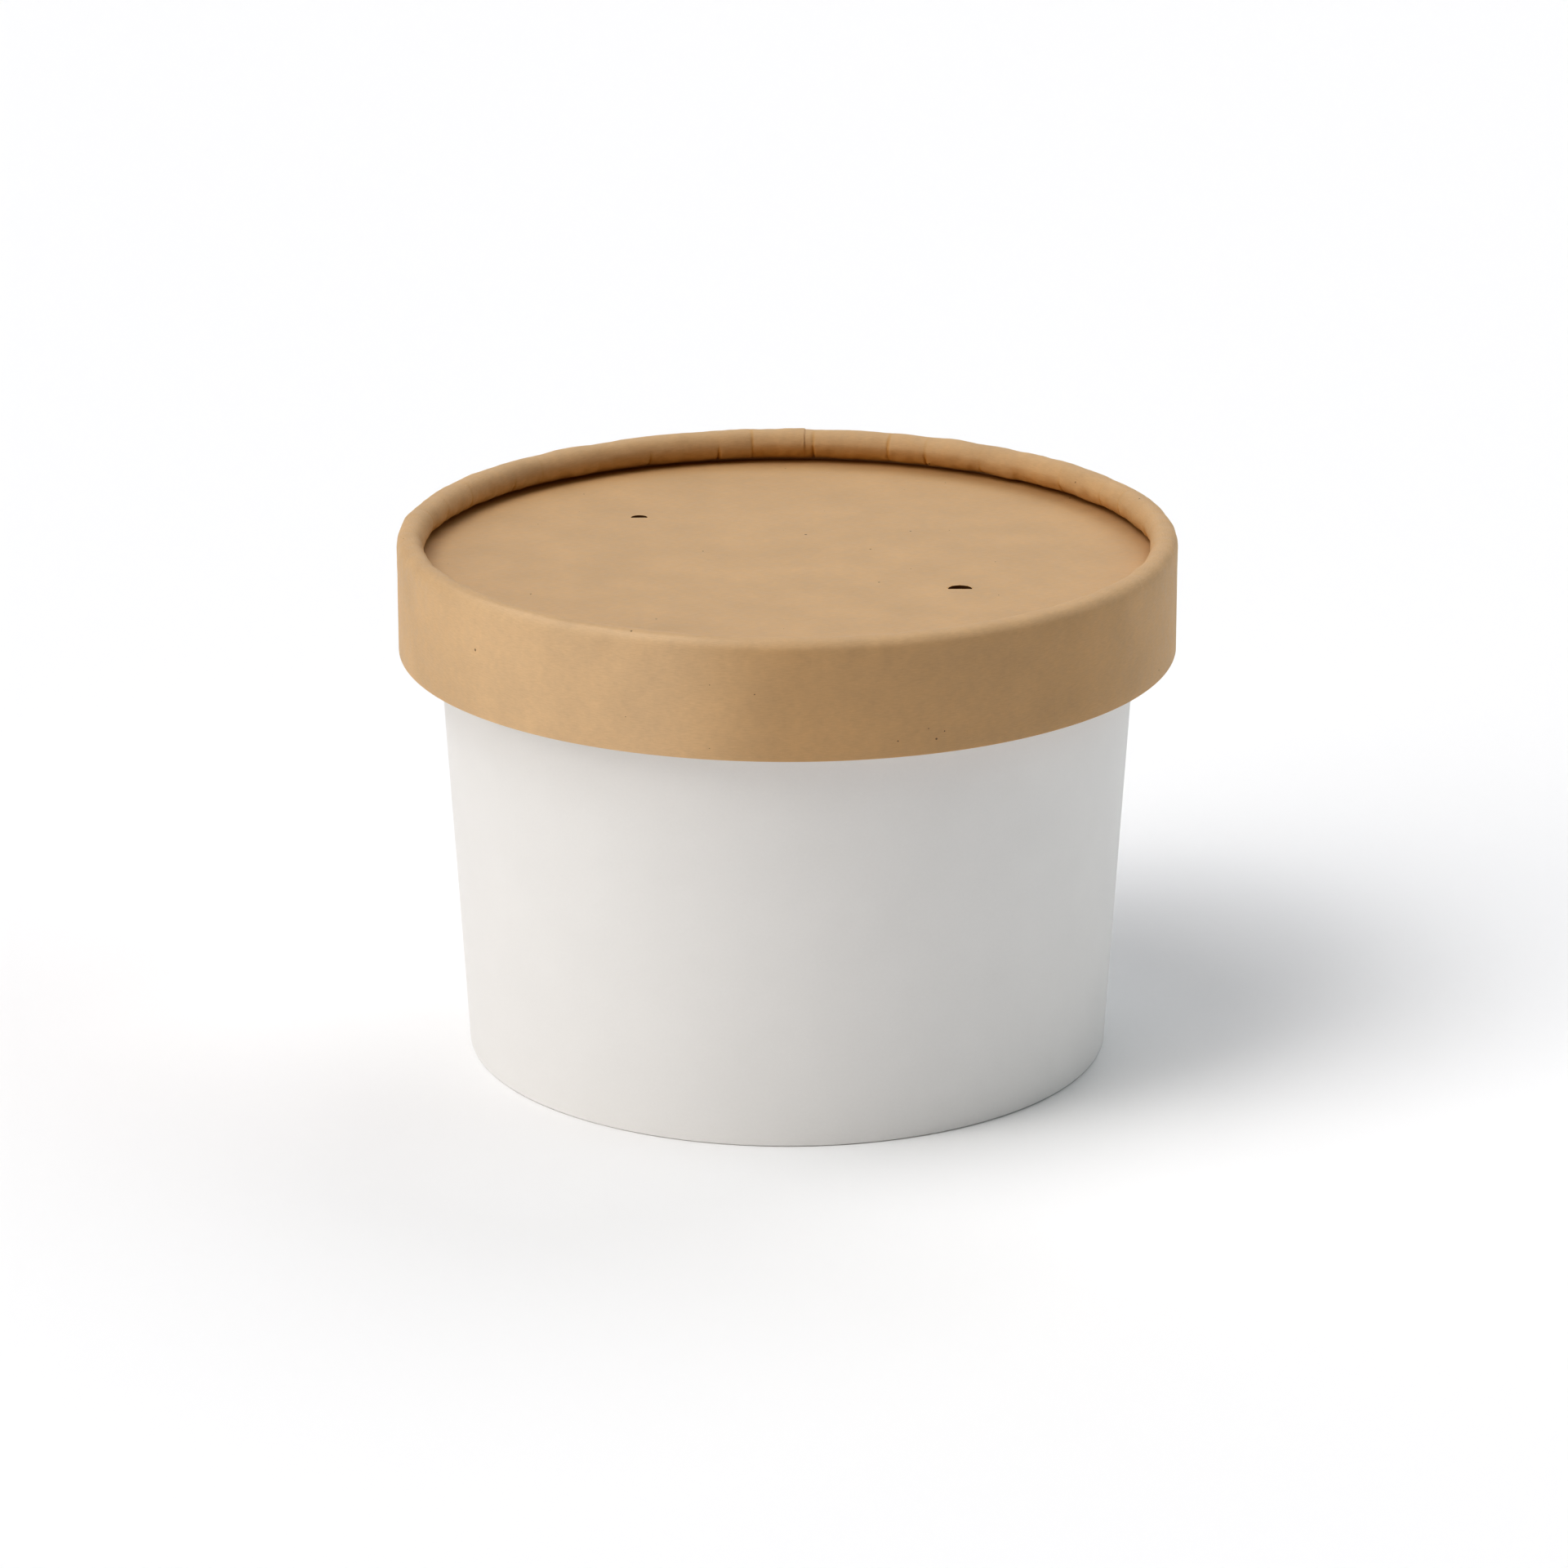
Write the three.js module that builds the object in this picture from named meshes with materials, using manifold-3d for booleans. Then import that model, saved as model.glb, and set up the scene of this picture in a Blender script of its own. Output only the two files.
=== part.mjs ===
/**
 * Paper ice cream tub, shut with its paper lid.
 *
 * The tub is a tapered round cup of white board with a rolled mouth, a lapped side seam and
 * a bottom set up inside its standing edge. It is shut and full, so it is solid out to its
 * wall. The lid is a flat disc of brown board in a band of the same board: the band's upper
 * edge is rolled inwards over the disc, and the roll is gathered in small uneven pleats.
 *
 * Millimetres, +Z up, +Y towards the back. The origin is the middle of the circle that the
 * tub stands on.
 */
import * as THREE from 'three';
import { mergeVertices } from 'three/addons/utils/BufferGeometryUtils.js';
import Module from 'manifold-3d';

// ---- Driving dimensions: the whole --------------------------------------------------

const OVERALL_HEIGHT = 64;
const CLEARANCE = 0.3; // between neighbouring pieces of board

// ---- Driving dimensions: the lid ----------------------------------------------------

const BAND_RADIUS = 46.5;
const BAND_HEIGHT = 14.3;
const BAND_THICKNESS = 0.8;
const ROLL_WIDTH = 3.2; // across, seen from above
const ROLL_DEPTH = 3.7;
const ROLL_SHOULDER = 2.7; // how far below the crest the outside starts to turn in
const BAND_SEAM = { cut: 87.2, lap: 10.4, easing: 5, lift: 0.3 }; // degrees, degrees, degrees, mm
const PLEAT_DEPTH = 0.3;
const PLEAT_HALF_WIDTH = 0.9; // degrees
const BACK_PLEATS = [56.4, 66.6, 73.1, 85.7, 95.8, 101.4, 113.2]; // degrees, from +X
const OTHER_PLEATS = 31;
const PITCH_SWING = 0.35; // how far a pitch strays from the mean, as a share of it
const PITCH_BEAT = 2.4; // radians between one stray and the next

const DISC_THICKNESS = 0.5;
const VENTS = [
  { x: -18.1, y: 18.3, width: 2.0 },
  { x: 20.3, y: -12.6, width: 2.8 },
];
const SLIT_WIDTH = 0.35; // between the cut edge and the little flap inside it

// ---- Driving dimensions: the tub ----------------------------------------------------

const BASE_RADIUS = 38.7;
const WALL_TAPER = 3.3; // degrees from upright
const MOUTH_RADIUS = 45.3;
const MOUTH_ROLL_RADIUS = 1.8;
const RECESS_DEPTH = 6.7; // from the floor up to the underside of the filling
const STANDING_EDGE_THICKNESS = 1.3;
const EDGE_ROUNDING = 0.25;
const TUB_SEAM = { cut: 118, lap: 12, easing: 5, lift: 0.35 }; // degrees, degrees, degrees, mm
const BOTTOM_THICKNESS = 0.5;

// ---- How finely the round shapes are divided ----------------------------------------

const WIDEST_COLUMN = 5; // degrees
const TUB_COLUMN = 3.75; // degrees
const ROLL_STEP = 30; // degrees
const SEAM_EDGE = 0.3; // degrees taken by the step at a cut edge
const VENT_DIVISIONS = 8;
const CUT_OVERSHOOT = 1; // a cutter stands this far out of the board on each side

// ---- Worked out from the above ------------------------------------------------------

const ROLL_CENTRE = {
  radius: BAND_RADIUS - ROLL_WIDTH / 2,
  height: OVERALL_HEIGHT - ROLL_DEPTH / 2,
};
const BAND_FOOT = OVERALL_HEIGHT - BAND_HEIGHT;
const BAND_INSIDE = BAND_RADIUS - BAND_THICKNESS;
const DISC_TOP = OVERALL_HEIGHT - ROLL_DEPTH - CLEARANCE;
const DISC_RADIUS = BAND_INSIDE - CLEARANCE;
const MOUTH_TOP = DISC_TOP - DISC_THICKNESS - CLEARANCE;
const MOUTH_CENTRE = {
  radius: MOUTH_RADIUS - MOUTH_ROLL_RADIUS,
  height: MOUTH_TOP - MOUTH_ROLL_RADIUS,
};

const wasm = await Module();
wasm.setup();

// ---- Helpers ------------------------------------------------------------------------

const radians = THREE.MathUtils.degToRad;
const cosine = (degrees) => Math.cos(radians(degrees));
const sine = (degrees) => Math.sin(radians(degrees));
const full = (degrees) => THREE.MathUtils.euclideanModulo(degrees, 360);

/** How far, in degrees, one direction lies from another, whichever way is shorter. */
const apart = (a, b) => Math.min(full(a - b), full(b - a));

/** Angles from one to another, both kept, no further apart than a given step. */
function spread(from, to, step) {
  const count = Math.max(1, Math.ceil((to - from) / step));
  return Array.from({ length: count + 1 }, (_, i) => from + ((to - from) * i) / count);
}

/**
 * A round body whose columns stand at the given angles, so that they crowd where the surface
 * has a crease and spread out where it is plain. The shape function places one point of the
 * profile in the column at one angle.
 */
function turn(profile, angles, shape = (point) => point) {
  const outline = profile.map((point) => new THREE.Vector2(point.radius, point.height));
  const geometry = new THREE.LatheGeometry(outline, angles.length);
  const position = geometry.getAttribute('position');
  for (let i = 0; i < position.count; i += 1) {
    const column = Math.floor(i / profile.length) % angles.length;
    const angle = angles[column];
    const { radius, height } = shape(profile[i % profile.length], angle);
    position.setXYZ(i, radius * cosine(angle), radius * sine(angle), height);
  }
  geometry.computeVertexNormals();
  return geometry;
}

/** How much a lapped seam raises the outer surface at an angle. */
function seamLift(seam, angle) {
  const past = full(angle - seam.cut);
  if (past <= seam.lap) return seam.lift;
  const eased = 1 - (past - seam.lap) / seam.easing;
  return seam.lift * Math.max(0, eased);
}

/** The angles that a seam needs: both sides of its cut edge, and where it dies away. */
function seamAngles(seam) {
  return [-SEAM_EDGE, 0, seam.lap, seam.lap + seam.easing].map((step) => full(seam.cut + step));
}

/** Sorted angles round the circle, with near doubles left out. */
function tidied(angles) {
  const sorted = angles.map(full).sort((a, b) => a - b);
  return sorted.filter((angle, i) => i === 0 || angle - sorted[i - 1] > SEAM_EDGE / 2);
}

/** A closed geometry as a solid that can be cut. */
function toSolid(geometry) {
  const bare = geometry.clone();
  bare.deleteAttribute('normal');
  bare.deleteAttribute('uv');
  const merged = mergeVertices(bare);
  const vertProperties = merged.getAttribute('position').array;
  const triVerts = new Uint32Array(merged.index.array);
  return new wasm.Manifold(new wasm.Mesh({ numProp: 3, vertProperties, triVerts }));
}

/** The geometry of a solid that has been cut. */
function toGeometry(solid) {
  const { vertProperties, triVerts } = solid.getMesh();
  const geometry = new THREE.BufferGeometry();
  geometry.setAttribute('position', new THREE.BufferAttribute(vertProperties, 3));
  geometry.setIndex(new THREE.BufferAttribute(triVerts, 1));
  geometry.computeVertexNormals();
  return geometry;
}

// ---- The tub ------------------------------------------------------------------------

const wallRadius = (height) => BASE_RADIUS + height * Math.tan(radians(WALL_TAPER));

/** Where the wall runs into the underside of the rolled mouth, as an angle on the roll. */
function wallMeetsRoll() {
  const reach = (MOUTH_CENTRE.radius - wallRadius(MOUTH_CENTRE.height)) / MOUTH_ROLL_RADIUS;
  return 180 + THREE.MathUtils.radToDeg(Math.acos(reach));
}

/** The tub's half section: filling, standing edge, wall and rolled mouth. */
function tubProfile() {
  const inside = (height) => wallRadius(height) - STANDING_EDGE_THICKNESS;
  const roll = spread(wallMeetsRoll(), 450, ROLL_STEP).map((angle) => ({
    radius: MOUTH_CENTRE.radius + MOUTH_ROLL_RADIUS * cosine(angle),
    height: MOUTH_CENTRE.height + MOUTH_ROLL_RADIUS * sine(angle),
  }));
  return [
    { radius: 0, height: RECESS_DEPTH },
    { radius: inside(RECESS_DEPTH), height: RECESS_DEPTH },
    { radius: inside(0), height: 0 },
    { radius: BASE_RADIUS - EDGE_ROUNDING, height: 0, onWall: true },
    { radius: wallRadius(EDGE_ROUNDING), height: EDGE_ROUNDING, onWall: true },
    { ...roll[0], onWall: true },
    ...roll.slice(1),
    { radius: 0, height: MOUTH_TOP },
  ];
}

function tubGeometry() {
  const angles = tidied([...spread(0, 360 - TUB_COLUMN, TUB_COLUMN), ...seamAngles(TUB_SEAM)]);
  return turn(tubProfile(), angles, (point, angle) => ({
    radius: point.radius + (point.onWall ? seamLift(TUB_SEAM, angle) : 0),
    height: point.height,
  }));
}

/** The round bottom, up inside the standing edge. */
function bottomGeometry() {
  const top = RECESS_DEPTH - CLEARANCE;
  const foot = top - BOTTOM_THICKNESS;
  const radius = wallRadius(foot) - STANDING_EDGE_THICKNESS - CLEARANCE;
  return turn(flatProfile(radius, foot, top), spread(0, 360 - WIDEST_COLUMN, WIDEST_COLUMN));
}

// ---- The lid ------------------------------------------------------------------------

/** The half section of a flat round board. */
function flatProfile(radius, foot, top) {
  return [
    { radius: 0, height: foot },
    { radius, height: foot },
    { radius, height: top },
    { radius: 0, height: top },
  ];
}

/** One half-moon slit, its ends towards the front, as a cutter that stands on its place. */
function slitCutter({ x, y, width }) {
  const outer = width / 2;
  const outline = new THREE.Shape();
  outline.absarc(0, 0, outer, 0, Math.PI, false);
  outline.absarc(0, 0, outer - SLIT_WIDTH, Math.PI, 0, true);
  const depth = DISC_THICKNESS + 2 * CUT_OVERSHOOT;
  const options = { depth, bevelEnabled: false, curveSegments: VENT_DIVISIONS };
  const cutter = new THREE.ExtrudeGeometry(outline, options);
  return cutter.translate(x, y, DISC_TOP - DISC_THICKNESS - CUT_OVERSHOOT);
}

/** The lid's flat disc, with two steam vents cut through it. */
function discGeometry() {
  const profile = flatProfile(DISC_RADIUS, DISC_TOP - DISC_THICKNESS, DISC_TOP);
  const board = toSolid(turn(profile, spread(0, 360 - TUB_COLUMN, TUB_COLUMN)));
  const cut = VENTS.reduce((solid, vent) => solid.subtract(toSolid(slitCutter(vent))), board);
  return toGeometry(cut);
}

/**
 * Where the pleats of the roll stand. Those at the back are as seen, and the others carry on
 * round the front to meet them, some closer together and some wider apart.
 */
function pleatAngles() {
  const first = BACK_PLEATS[0] + 360;
  const last = BACK_PLEATS[BACK_PLEATS.length - 1];
  const pitches = Array.from(
    { length: OTHER_PLEATS + 1 },
    (_, i) => 1 + PITCH_SWING * Math.sin(PITCH_BEAT * i),
  );
  const total = pitches.reduce((sum, pitch) => sum + pitch, 0);
  const angles = [...BACK_PLEATS];
  pitches.slice(0, OTHER_PLEATS).reduce((sum, pitch) => {
    angles.push(last + ((first - last) * (sum + pitch)) / total);
    return sum + pitch;
  }, 0);
  return angles;
}

/** Columns for the band: three on each pleat, and enough between them to stay round. */
function bandAngles(pleats) {
  const columns = pleats.flatMap((pleat, i) => {
    const next = i + 1 < pleats.length ? pleats[i + 1] : pleats[0] + 360;
    const plain = spread(pleat + PLEAT_HALF_WIDTH, next - PLEAT_HALF_WIDTH, WIDEST_COLUMN);
    return [pleat, ...plain];
  });
  return tidied([...columns, ...seamAngles(BAND_SEAM)]);
}

/** A point of the roll's section, which turns in over a taller arc outside than inside. */
function rollPoint(roll) {
  const rise = roll < 90 ? ROLL_SHOULDER : ROLL_DEPTH / 2;
  return {
    radius: ROLL_CENTRE.radius + (ROLL_WIDTH / 2) * cosine(roll),
    height: OVERALL_HEIGHT - rise * (1 - sine(roll)),
    roll,
  };
}

/** The band's closed section: its outside, the inward roll, and its inside. */
function bandProfile() {
  const reach = (BAND_INSIDE - ROLL_CENTRE.radius) / (ROLL_WIDTH / 2);
  const underside = 360 - THREE.MathUtils.radToDeg(Math.acos(reach));
  const foot = { radius: BAND_RADIUS, height: BAND_FOOT, outside: true };
  return [
    foot,
    ...spread(0, underside, ROLL_STEP).map(rollPoint),
    { radius: BAND_INSIDE, height: BAND_FOOT },
    foot,
  ];
}

/** The share of a raised seam, or of a pleat, that shows at an angle round the roll. */
const lapShare = (roll) => THREE.MathUtils.clamp((270 - roll) / 90, 0, 1);
const pleatShare = (roll) => Math.max(0, sine((roll - 20) * (180 / 280)));

/** The pleat's notch at an angle round the lid: deepest in the middle, nothing beside it. */
function pleatNotch(pleats, angle) {
  const nearest = Math.min(...pleats.map((pleat) => apart(pleat, angle)));
  return PLEAT_DEPTH * Math.max(0, 1 - nearest / PLEAT_HALF_WIDTH);
}

function bandGeometry() {
  const pleats = pleatAngles();
  return turn(bandProfile(), bandAngles(pleats), (point, angle) => {
    const lift = seamLift(BAND_SEAM, angle);
    if (point.outside) return { radius: point.radius + lift, height: point.height };
    if (point.roll === undefined) return point;
    const notch = pleatNotch(pleats, angle) * pleatShare(point.roll);
    const out = lift * lapShare(point.roll) - notch;
    return {
      radius: point.radius + out * cosine(point.roll),
      height: point.height + out * sine(point.roll),
    };
  });
}

// ---- The closed tub -----------------------------------------------------------------

const WHITE_BOARD = { color: 0xe9e6e3, roughness: 0.72, metalness: 0 };
const BROWN_BOARD = { color: 0xc69f74, roughness: 0.85, metalness: 0 };

/** One named piece with a finish of its own. */
function piece(name, geometry, board) {
  const mesh = new THREE.Mesh(geometry, new THREE.MeshStandardMaterial(board));
  mesh.name = name;
  return mesh;
}

const closedTub = new THREE.Group();
closedTub.add(
  piece('tub', tubGeometry(), WHITE_BOARD),
  piece('tub_bottom', bottomGeometry(), WHITE_BOARD),
  piece('lid_disc', discGeometry(), BROWN_BOARD),
  piece('lid_band', bandGeometry(), BROWN_BOARD),
);

export default closedTub;
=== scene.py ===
# %% [markdown]
# # A paper ice cream tub, shut with its brown paper lid
# The object is made of sheets of board: a tapered white wall with a bottom set up inside it, and
# a lid of brown board, which is a flat disc held in a band whose upper edge is rolled inwards.
# The solid part that this scene dresses has the true sizes. The cells below make each piece of
# board again at the same size, with the fine shapes that a machine leaves in paper: lapped
# seams, gathers in the roll, cut edges and a slight unevenness.

# %% Start from the solid part
import math
import random

import bpy
import numpy as np
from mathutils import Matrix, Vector
from mathutils.geometry import delaunay_2d_cdt


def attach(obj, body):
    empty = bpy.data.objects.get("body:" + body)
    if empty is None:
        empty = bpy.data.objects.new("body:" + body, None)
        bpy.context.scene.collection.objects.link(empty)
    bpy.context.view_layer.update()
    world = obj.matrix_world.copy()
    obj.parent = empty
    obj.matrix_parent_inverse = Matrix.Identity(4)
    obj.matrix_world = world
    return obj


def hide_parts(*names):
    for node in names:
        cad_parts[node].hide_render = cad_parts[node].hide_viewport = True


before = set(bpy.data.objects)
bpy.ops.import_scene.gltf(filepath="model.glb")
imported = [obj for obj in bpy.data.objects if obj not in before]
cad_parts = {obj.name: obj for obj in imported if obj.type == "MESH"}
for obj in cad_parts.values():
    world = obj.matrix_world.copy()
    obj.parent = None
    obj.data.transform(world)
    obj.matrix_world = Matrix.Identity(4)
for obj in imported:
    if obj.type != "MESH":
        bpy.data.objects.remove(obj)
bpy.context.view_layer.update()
scene = bpy.context.scene
MM = 0.001

# %% [markdown]
# ## The camera
# The view is a product shot from a little above, with a long lens, so that the tub's sides stay
# nearly straight. Camera, target and lens could be found by hand, but four of the outlines (the
# lid's widest points, the crest at the back and the foot at the front) settle them exactly. A
# tiny sideways shift of the lens puts the tub's axis where it is in the shot, 4 pixels to the
# right of the middle.

# %% Camera
CAMERA_PITCH = math.radians(18.39)
CAMERA_DISTANCE = 0.721
LOOK_HEIGHT = 31.66 * MM
LENS_ON_36_MM = 136.95
AXIS_PIXEL_X = 963.9
IMAGE_SIDE = 1920

camera_data = bpy.data.cameras.new("camera")
camera_data.lens = LENS_ON_36_MM
camera_data.sensor_width = 36.0
camera_data.shift_x = (IMAGE_SIDE / 2 - AXIS_PIXEL_X) / IMAGE_SIDE
camera = bpy.data.objects.new("camera", camera_data)
back_and_up = Vector((0.0, -math.cos(CAMERA_PITCH), math.sin(CAMERA_PITCH)))
camera.location = Vector((0.0, 0.0, LOOK_HEIGHT)) + back_and_up * CAMERA_DISTANCE
camera.rotation_euler = (-back_and_up).to_track_quat("-Z", "Y").to_euler()
scene.collection.objects.link(camera)
scene.camera = camera
print("camera height above the floor, mm:", round(camera.location.z / MM, 1))

# %% [markdown]
# ## Floor and light
# The tub stands on a plain white floor. The shot's light comes mostly from a tall soft window at
# the left and a little in front: it makes the left of the tub bright, and throws the soft shadow
# that runs off to the right. Three suns one above the other stand for that window, because a sun
# lights the whole floor evenly and its angle sets how soft its shadow is. Weaker suns above,
# behind and at the right fill the far side, as the white walls of a studio do. The floor in such
# shots is lit more strongly than the object, so that it turns pure white. One lamp is linked to
# the floor alone for that, and the tub still throws its shadow in that lamp's light.

# %% Floor
FLOOR_RADIUS = 6.0  # metres
FLOOR_CORNERS = 96
FLOOR_WHITE = 0.86


def circle(x, y, radius, count):
    """Points on a circle, counterclockwise from its right end."""
    turns = [math.tau * i / count for i in range(count)]
    return [(x + radius * math.cos(turn), y + radius * math.sin(turn)) for turn in turns]


floor_mesh = bpy.data.meshes.new("floor")
rim = [(x, y, 0.0) for x, y in circle(0.0, 0.0, FLOOR_RADIUS, FLOOR_CORNERS)]
floor_mesh.from_pydata(rim, [], [list(range(FLOOR_CORNERS))])
floor = bpy.data.objects.new("floor", floor_mesh)
scene.collection.objects.link(floor)

floor_paint = bpy.data.materials.new("floor_paint")
floor_paint.use_nodes = True
floor_shader = floor_paint.node_tree.nodes["Principled BSDF"]
floor_shader.inputs["Base Color"].default_value = (FLOOR_WHITE, FLOOR_WHITE, FLOOR_WHITE, 1.0)
floor_shader.inputs["Roughness"].default_value = 0.9
floor_shader.inputs["Specular IOR Level"].default_value = 0.1
floor_mesh.materials.append(floor_paint)
print("floor radius, m:", FLOOR_RADIUS)


# %% Lights
def soft_lamp(name, azimuth, elevation, spread, power, colour, lights_only=None):
    """
    A lamp so far off that it lights the whole floor evenly. The azimuth is counted from +X
    towards +Y, and the spread is how wide the lamp looks from the tub, all in degrees.
    """
    data = bpy.data.lights.new(name, "SUN")
    data.angle = math.radians(spread)
    data.energy = power
    data.color = colour
    lamp = bpy.data.objects.new(name, data)
    turn = math.radians(azimuth)
    rise = math.radians(elevation)
    out = Vector((math.cos(turn) * math.cos(rise), math.sin(turn) * math.cos(rise), math.sin(rise)))
    lamp.location = out
    lamp.rotation_euler = out.to_track_quat("Z", "Y").to_euler()
    scene.collection.objects.link(lamp)
    if lights_only is not None:
        lit = bpy.data.collections.new(name + "_reaches")
        lit.objects.link(lights_only)
        lamp.light_linking.receiver_collection = lit
    print(name, "azimuth", azimuth, "elevation", elevation, "power", power)
    return lamp


soft_lamp("side_low", 204, 19, 36, 0.646, (1.0, 0.97, 0.89))
soft_lamp("side_middle", 219, 45, 36, 0.665, (1.0, 0.95, 0.90))
soft_lamp("side_high", 193, 65, 36, 0.942, (0.98, 0.99, 1.0))
soft_lamp("above", 270, 89, 40, 0.525, (1.0, 0.97, 0.98))
soft_lamp("behind_right", 56, 50, 40, 0.822, (0.99, 0.99, 1.0))
soft_lamp("behind", 100, 33, 50, 0.352, (0.88, 0.91, 1.0))
soft_lamp("right", 0, 35, 40, 0.456, (0.85, 0.97, 1.0))
soft_lamp("floor_side", 205, 55, 32, 0.57, (0.96, 0.96, 1.0), lights_only=floor)

# %% Pale surroundings, a bright band at the horizon
HORIZON_STRENGTH = 0.7
BAND_FADES_FROM = math.sin(math.radians(8))
BAND_FADES_TO = math.sin(math.radians(22))

world = bpy.data.worlds.new("pale_surroundings")
world.use_nodes = True
sky_tree = world.node_tree
surroundings = sky_tree.nodes["Background"]
surroundings.inputs["Color"].default_value = (1.0, 1.0, 1.0, 1.0)
direction = sky_tree.nodes.new("ShaderNodeTexCoord")
upward = sky_tree.nodes.new("ShaderNodeSeparateXYZ")
fade = sky_tree.nodes.new("ShaderNodeMapRange")
fade.interpolation_type = "SMOOTHSTEP"
fade.inputs["From Min"].default_value = BAND_FADES_FROM
fade.inputs["From Max"].default_value = BAND_FADES_TO
fade.inputs["To Min"].default_value = HORIZON_STRENGTH
fade.inputs["To Max"].default_value = 0.0
sky_tree.links.new(direction.outputs["Generated"], upward.inputs[0])
sky_tree.links.new(upward.outputs["Z"], fade.inputs["Value"])
sky_tree.links.new(fade.outputs[0], surroundings.inputs["Strength"])
scene.world = world

# %% [markdown]
# ## The camera's response
# A camera doesn't record light evenly: its middle tones come out darker and with more contrast
# than its whites. Blender's Standard view shows light evenly, so the whole picture gets a gentle
# curve, which makes the brown lid as deep as it is in the shot and leaves the white tub alone.
# Near black a camera keeps red longest and loses blue first, so that the gaps of a brown lid
# look deep brown and not grey: red is raised a little there, and blue lowered.

# %% Response curve
RESPONSE_BEND = 0.2
RESPONSE_PIVOT = 1.1
RESPONSE_POINTS = 12
RED_CURVE = 0  # the places of three of the curves in Blender's list
BLUE_CURVE = 2
WHOLE_CURVE = 3
WARM_DARKS = [  # a channel's curve, how far it shifts black, and up to which shown value
    (RED_CURVE, 0.11, 0.45),
    (BLUE_CURVE, -0.075, 0.36),
]


def to_light(shown):
    """From a shown value, 0 to 1, to the light that it stands for."""
    return shown / 12.92 if shown <= 0.04045 else ((shown + 0.055) / 1.055) ** 2.4


def bent(shown):
    """Darkens the middle tones the most, and leaves black and white as they are."""
    return shown + RESPONSE_BEND * shown * (1 - shown) * (shown - RESPONSE_PIVOT) * 4


def warmed(shown, shift, end):
    """Shifts black the most, and leaves everything from the end value on."""
    return max(0.0, shown + shift * max(0.0, 1 - shown / end))


def draw_curve(curve, change, *settings):
    """Gives a curve its points, so that each shown value comes out changed."""
    for step in range(1, RESPONSE_POINTS):
        level = step / RESPONSE_POINTS
        curve.points.new(to_light(level), to_light(change(level, *settings)))


view = scene.view_settings
view.view_transform = "Standard"
view.look = "None"
view.use_curve_mapping = True
response = view.curve_mapping.curves
draw_curve(response[WHOLE_CURVE], bent)
for channel, shift, end in WARM_DARKS:
    response[channel].points[0].location = (0.0, to_light(warmed(0.0, shift, end)))
    draw_curve(response[channel], warmed, shift, end)
view.curve_mapping.update()
print("response points:", len(response[WHOLE_CURVE].points))

# %% [markdown]
# ## Small tools for building node trees
# Geometry Nodes and material nodes are both trees of boxes joined by wires. Written out one call
# at a time they get long, so small helpers do the wiring: one adds a node and feeds it, some do
# arithmetic, one starts a tree with named inputs that show up on the modifier, and one ends it.


# %% Helpers for node trees
def feed(tree, socket, value):
    """Wires one node's output into a socket, or types a plain value into it."""
    if isinstance(value, bpy.types.NodeSocket):
        tree.links.new(value, socket)
    else:
        socket.default_value = value


def place(tree, kind, inputs=None, **settings):
    """Adds a node with its settings, and feeds its inputs by name or by number."""
    node = tree.nodes.new(kind)
    for setting, value in settings.items():
        setattr(node, setting, value)
    for key, value in (inputs or {}).items():
        feed(tree, node.inputs[key], value)
    return node


def calc(tree, operation, *values):
    """Arithmetic on one, two or three numbers."""
    inputs = dict(enumerate(values))
    return place(tree, "ShaderNodeMath", inputs, operation=operation).outputs[0]


def times(tree, *values):
    """The product of two or more numbers."""
    product = values[0]
    for value in values[1:]:
        product = calc(tree, "MULTIPLY", product, value)
    return product


def vector_calc(tree, operation, *values):
    """Arithmetic on vectors. SCALE takes its number in a socket of its own."""
    if operation == "SCALE":
        inputs = {0: values[0], "Scale": values[1]}
    else:
        inputs = dict(enumerate(values))
    node = place(tree, "ShaderNodeVectorMath", inputs, operation=operation)
    wants_number = operation in ("LENGTH", "DOT_PRODUCT", "DISTANCE")
    return node.outputs["Value" if wants_number else "Vector"]


def ramp(tree, value, low, high, start=0.0, end=1.0, kind="SMOOTHSTEP"):
    """Takes a value between low and high to start and end, and holds it beyond."""
    inputs = {0: value, 1: low, 2: high, 3: start, 4: end}
    return place(tree, "ShaderNodeMapRange", inputs, interpolation_type=kind).outputs[0]


def shape_tree(name, inputs):
    """A Geometry Nodes tree whose inputs, listed by their kinds, are named on the modifier."""
    tree = bpy.data.node_groups.new(name, "GeometryNodeTree")
    for kind, labels in {"Geometry": ["Geometry"], **inputs}.items():
        for label in labels:
            tree.interface.new_socket(label, in_out="INPUT", socket_type="NodeSocket" + kind)
    tree.interface.new_socket("Geometry", in_out="OUTPUT", socket_type="NodeSocketGeometry")
    source = tree.nodes.new("NodeGroupInput")
    result = tree.nodes.new("NodeGroupOutput")
    return tree, source.outputs, result.inputs["Geometry"]


def finish_board(tree, mesh, board, result):
    """Ends a tree: plain geometry, its material, and the way out."""
    mesh = place(tree, "GeometryNodeRealizeInstances", {"Geometry": mesh}).outputs[0]
    inputs = {"Geometry": mesh, "Material": board}
    mesh = place(tree, "GeometryNodeSetMaterial", inputs).outputs[0]
    tree.links.new(mesh, result)


def use_tree(owner, tree, values):
    """Adds the tree to an object as a modifier, and sets its inputs by their identifiers."""
    modifier = owner.modifiers.new(tree.name, "NODES")
    modifier.node_group = tree
    for item in tree.interface.items_tree:
        if item.in_out == "INPUT" and item.name in values:
            modifier[item.identifier] = values[item.name]
    return modifier


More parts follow.
